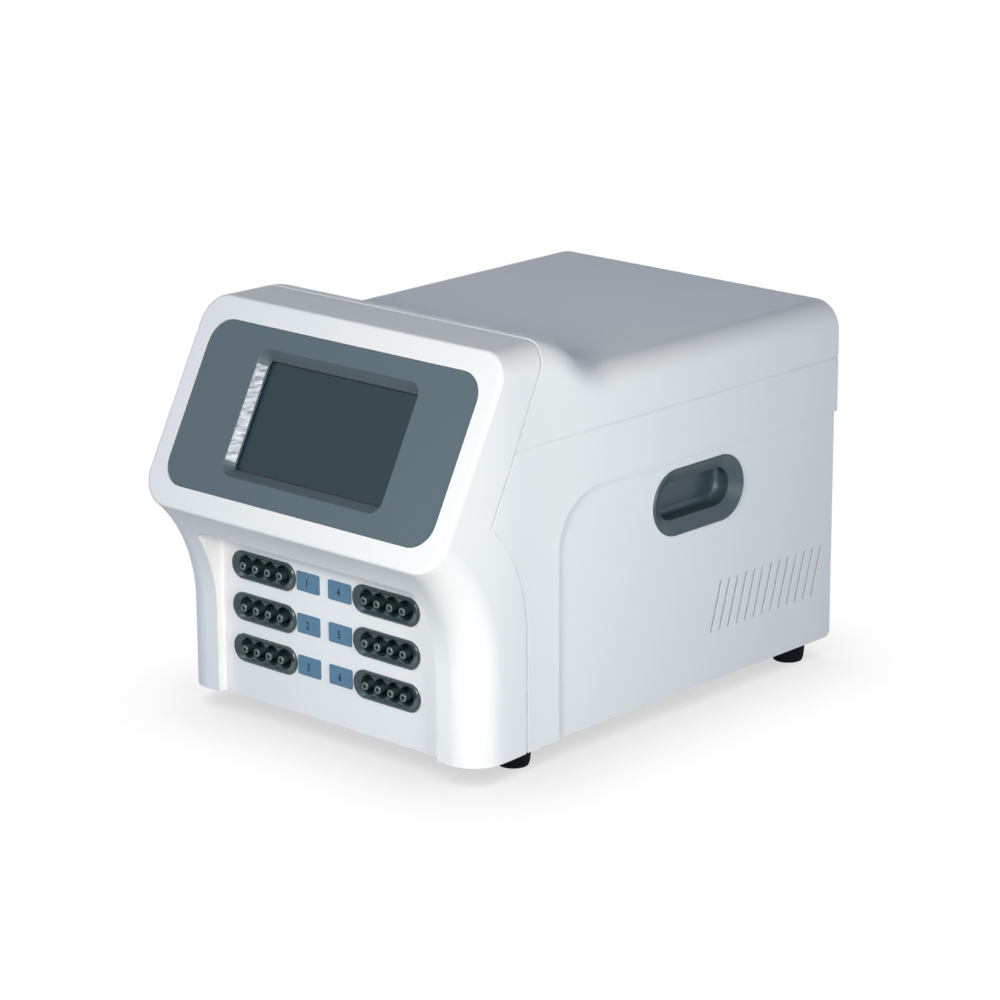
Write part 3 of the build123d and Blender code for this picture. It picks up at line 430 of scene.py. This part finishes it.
# %% The sky
world = bpy.data.worlds.new("studio")
bpy.context.scene.world = world
world.use_nodes = True
sky = world.node_tree
background = sky.nodes["Background"]
place = sky.nodes.new("ShaderNodeTexCoord")
split = sky.nodes.new("ShaderNodeSeparateXYZ")
sky.links.new(place.outputs["Generated"], split.inputs[0])
ramp = sky.nodes.new("ShaderNodeValToRGB")
band, above = ramp.color_ramp.elements
band.position, band.color = 0.16, (0.10, 0.38, 0.72, 1.0)
above.position, above.color = 0.30, (0.01, 0.02, 0.04, 1.0)
sky.links.new(split.outputs["Z"], ramp.inputs["Fac"])
rays = sky.nodes.new("ShaderNodeLightPath")
shown = [rays.outputs[kind] for kind in shown_rays]
for first, second in ((0, 1), (2, 3)):
    total = sky.nodes.new("ShaderNodeMath")
    sky.links.new(shown[first], total.inputs[0])
    sky.links.new(shown[second], total.inputs[1])
    shown.append(total.outputs[0])
white = sky.nodes.new("ShaderNodeMix")
white.data_type = "RGBA"
white.inputs[MIX_SECOND].default_value = (1.0, 1.0, 1.0, 1.0)
sky.links.new(shown[-1], white.inputs[MIX_SHARE])
sky.links.new(ramp.outputs["Color"], white.inputs[MIX_FIRST])
sky.links.new(white.outputs[MIX_RESULT], background.inputs["Color"])


# %% The lamps
case_middle = Vector((0.0, 0.0, 0.15))


def hang(name, lamp, source):
    """Places a lamp so that it shines from source towards the middle of the case."""
    holder = bpy.data.objects.new(name, lamp)
    holder.location = source
    holder.rotation_euler = (Vector(source) - case_middle).to_track_quat("Z", "Y").to_euler()
    holder.visible_camera = False
    bpy.context.scene.collection.objects.link(holder)
    return holder


def soft_box(name, source, size, power, colour):
    """A round studio lamp near the case; its light falls off along the case."""
    lamp = bpy.data.lights.new(name, "AREA")
    lamp.shape, lamp.size, lamp.energy, lamp.color = "DISK", size, power, colour
    hang(name, lamp, source)


def far_lamp(name, azimuth, elevation, strength, softness, colour):
    """A lamp so far that its light is even; azimuth 0 is the front, 90 the right side."""
    lamp = bpy.data.lights.new(name, "SUN")
    lamp.energy, lamp.angle, lamp.color = strength, math.radians(softness), colour
    turn, rise, away = math.radians(azimuth), math.radians(elevation), 5.0
    level_part = away * math.cos(rise)
    up_part = away * math.sin(rise) + case_middle.z
    return hang(name, lamp, (level_part * math.sin(turn), -level_part * math.cos(turn), up_part))


soft_box("key", (0.50, -1.10, 0.60), 0.4, 7.8, (1.14, 0.99, 0.83))
soft_box("side", (1.15, -0.45, 0.30), 0.4, 6.5, (1.0, 1.0, 0.98))
far_lamp("left_fill", -30, 30, 0.7, 30, (0.50, 0.76, 1.0))
rear_fill = far_lamp("rear_fill", 222, 2, 1.8, 20, (1.0, 1.0, 1.0))
rear_fill.visible_glossy = False

# %% [markdown]
# ## The camera
#
# A long lens from the front right, a little above the case.  The shift is
# small: it only puts the instrument where the framing wants it.

# %% The camera
azimuth, elevation, roll = math.radians(42.85), math.radians(16.64), math.radians(-0.30)
distance = 2.836
target = Vector((0.0, -7.5 * mm, 128.9 * mm))
back = Vector((math.sin(azimuth) * math.cos(elevation),
               -math.cos(azimuth) * math.cos(elevation),
               math.sin(elevation)))
level = Vector((math.cos(azimuth), math.sin(azimuth), 0.0))
upward = back.cross(level)
right = level * math.cos(roll) + upward * math.sin(roll)
upward = back.cross(right)
lens = bpy.data.cameras.new("camera")
lens.sensor_width = 36.0
lens.lens = 133.5
lens.shift_x = 0.010
lens.shift_y = 0.026
camera = bpy.data.objects.new("camera", lens)
basis = Matrix((right, upward, back)).transposed().to_4x4()
camera.matrix_world = Matrix.Translation(target + back * distance) @ basis
bpy.context.scene.collection.objects.link(camera)
bpy.context.scene.camera = camera
bpy.context.scene.view_settings.view_transform = "Standard"
